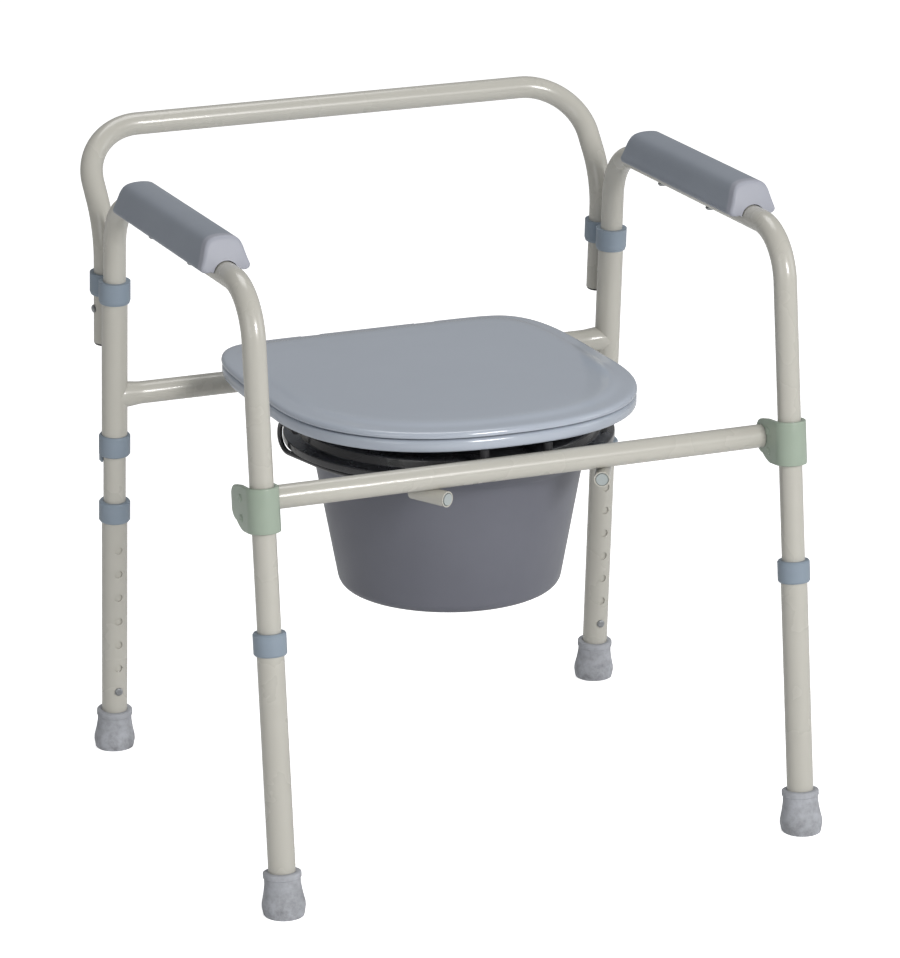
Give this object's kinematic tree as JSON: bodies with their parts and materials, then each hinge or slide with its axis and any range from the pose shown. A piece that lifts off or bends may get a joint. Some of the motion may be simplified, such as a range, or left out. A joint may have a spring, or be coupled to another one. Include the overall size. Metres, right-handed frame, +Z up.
{
  "type": "commode chair",
  "caption": "Commode chair: tube side frames with arm pads, back bar, height-adjustable legs on rubber tips, hinged seat and lid, and a lidded pail in a wire carrier under the seat.",
  "frame": {"origin": "on the floor at the centre of the part's outline seen from above", "axes": "+Z up, -Y towards the front of the chair, +X to the viewer's right from the front"},
  "size_m": [0.578, 0.5721, 0.6351],
  "materials": {
    "arm_pad": "grey moulded plastic with a fine grain",
    "bracket": "grey-green satin paint",
    "collar": "blue-grey satin plastic",
    "dark_plug": "black satin plastic",
    "frame_tube": "warm light grey gloss powder coat",
    "pail_cover": "black gloss plastic",
    "pail_shell": "dark purplish grey polypropylene",
    "plug": "light grey satin plastic",
    "seat_shell": "blue-grey gloss moulding",
    "steel": "zinc-plated steel",
    "tip_rubber": "grey matt rubber",
    "wire": "black gloss plastic-coated wire"
  },
  "bodies": {
    "rear_frame": {"rear_bar": "frame_tube", "rear_sleeve_left": "frame_tube", "rear_sleeve_right": "frame_tube", "back_clamp_left": "collar", "back_clamp_right": "collar", "sleeve_collar_left": "collar", "sleeve_collar_right": "collar", "front_bar": "frame_tube", "carrier_sockets": "frame_tube", "socket_plugs": "plug", "pail_carrier": "wire", "carrier_sleeves": "dark_plug", "hinge_brackets": "steel", "hinge_pins": "steel"},
    "side_left": {"side_frame_left": "frame_tube", "arm_pad_left": "arm_pad", "arm_screws_left": "steel", "bar_bracket_left": "bracket", "bracket_rivets_left": "bracket", "leg_spring_front_left": "steel", "leg_spring_rear_left": "steel"},
    "side_right": {"side_frame_right": "frame_tube", "arm_pad_right": "arm_pad", "arm_screws_right": "steel", "bar_bracket_right": "bracket", "bracket_rivets_right": "bracket", "leg_spring_front_right": "steel", "leg_spring_rear_right": "steel"},
    "leg_front_left": {"leg_tube_front_left": "frame_tube", "leg_collar_front_left": "collar", "leg_tip_front_left": "tip_rubber"},
    "button_front_left": {"leg_button_front_left": "steel"},
    "leg_front_right": {"leg_tube_front_right": "frame_tube", "leg_collar_front_right": "collar", "leg_tip_front_right": "tip_rubber"},
    "button_front_right": {"leg_button_front_right": "steel"},
    "leg_rear_left": {"leg_tube_rear_left": "frame_tube", "leg_collar_rear_left": "collar", "leg_tip_rear_left": "tip_rubber"},
    "button_rear_left": {"leg_button_rear_left": "steel"},
    "leg_rear_right": {"leg_tube_rear_right": "frame_tube", "leg_collar_rear_right": "collar", "leg_tip_rear_right": "tip_rubber"},
    "button_rear_right": {"leg_button_rear_right": "steel"},
    "back_rest_frame": {"back_rest": "frame_tube", "back_plugs": "dark_plug", "back_spring_left": "steel", "back_spring_right": "steel"},
    "back_button_l": {"back_button_left": "steel"},
    "back_button_r": {"back_button_right": "steel"},
    "seat": {"seat_ring": "seat_shell", "seat_bumpers": "dark_plug"},
    "lid": {"seat_lid": "seat_shell", "lid_bumpers": "tip_rubber"},
    "pail_body": {"pail": "pail_shell"},
    "pail_cover": {"pail_lid": "pail_cover"}
  },
  "joints": [
    {"name": "side_left_swing", "type": "hinge", "parent": "rear_frame", "child": "side_left", "pos_m": [-0.265, 0.2181, 0], "axis": [0, 0.0802, -0.9968], "range_deg": [0, 90]},
    {"name": "side_right_swing", "type": "hinge", "parent": "rear_frame", "child": "side_right", "pos_m": [0.265, 0.2181, 0], "axis": [0, -0.0802, 0.9968], "range_deg": [0, 90]},
    {"name": "leg_front_left_slide", "type": "slide", "parent": "side_left", "child": "leg_front_left", "axis": [0, -0.1011, -0.9949], "range_m": [0, 0.1524], "deforming": ["leg_button_front_left", "leg_spring_front_left"]},
    {"name": "leg_front_right_slide", "type": "slide", "parent": "side_right", "child": "leg_front_right", "axis": [0, -0.1011, -0.9949], "range_m": [0, 0.1524], "deforming": ["leg_button_front_right", "leg_spring_front_right"]},
    {"name": "leg_rear_left_slide", "type": "slide", "parent": "side_left", "child": "leg_rear_left", "axis": [0, 0.0802, -0.9968], "range_m": [0, 0.1524], "deforming": ["leg_button_rear_left", "leg_spring_rear_left"]},
    {"name": "leg_rear_right_slide", "type": "slide", "parent": "side_right", "child": "leg_rear_right", "axis": [0, 0.0802, -0.9968], "range_m": [0, 0.1524], "deforming": ["leg_button_rear_right", "leg_spring_rear_right"]},
    {"name": "button_front_left_push", "type": "slide", "parent": "side_left", "child": "button_front_left", "axis": [0, -0.9949, 0.1011], "range_m": [0, 0.004], "stiffness_N_per_m": 400, "deforming": ["leg_spring_front_left"]},
    {"name": "button_front_right_push", "type": "slide", "parent": "side_right", "child": "button_front_right", "axis": [0, -0.9949, 0.1011], "range_m": [0, 0.004], "stiffness_N_per_m": 400, "deforming": ["leg_spring_front_right"]},
    {"name": "button_rear_left_push", "type": "slide", "parent": "side_left", "child": "button_rear_left", "axis": [0, 0.9968, 0.0802], "range_m": [0, 0.004], "stiffness_N_per_m": 400, "deforming": ["leg_spring_rear_left"]},
    {"name": "button_rear_right_push", "type": "slide", "parent": "side_right", "child": "button_rear_right", "axis": [0, 0.9968, 0.0802], "range_m": [0, 0.004], "stiffness_N_per_m": 400, "deforming": ["leg_spring_rear_right"]},
    {"name": "back_rest_lift", "type": "slide", "parent": "rear_frame", "child": "back_rest_frame", "axis": [0, -0.0802, 0.9968], "range_m": [0, 0.08], "deforming": ["back_button_left", "back_button_right", "back_spring_left", "back_spring_right"]},
    {"name": "back_button_left_push", "type": "slide", "parent": "back_rest_frame", "child": "back_button_l", "axis": [1, 0, 0], "range_m": [0, 0.004], "stiffness_N_per_m": 400, "deforming": ["back_spring_left"]},
    {"name": "back_button_right_push", "type": "slide", "parent": "back_rest_frame", "child": "back_button_r", "axis": [-1, 0, 0], "range_m": [0, 0.004], "stiffness_N_per_m": 400, "deforming": ["back_spring_right"]},
    {"name": "seat_hinge", "type": "hinge", "parent": "rear_frame", "child": "seat", "pos_m": [0, 0.19063, 0.403], "axis": [-1, 0, 0], "range_deg": [0, 89]},
    {"name": "lid_hinge", "type": "hinge", "parent": "seat", "child": "lid", "pos_m": [0, 0.19063, 0.403], "axis": [-1, 0, 0], "range_deg": [0, 89]},
    {"name": "pail_lift", "type": "slide", "parent": "rear_frame", "child": "pail_body", "axis": [0, 0, 1], "range_m": [0, 0.006]},
    {"name": "pail_cover_lift", "type": "slide", "parent": "pail_body", "child": "pail_cover", "axis": [0, 0, 1], "range_m": [0, 0.002]}
  ]
}
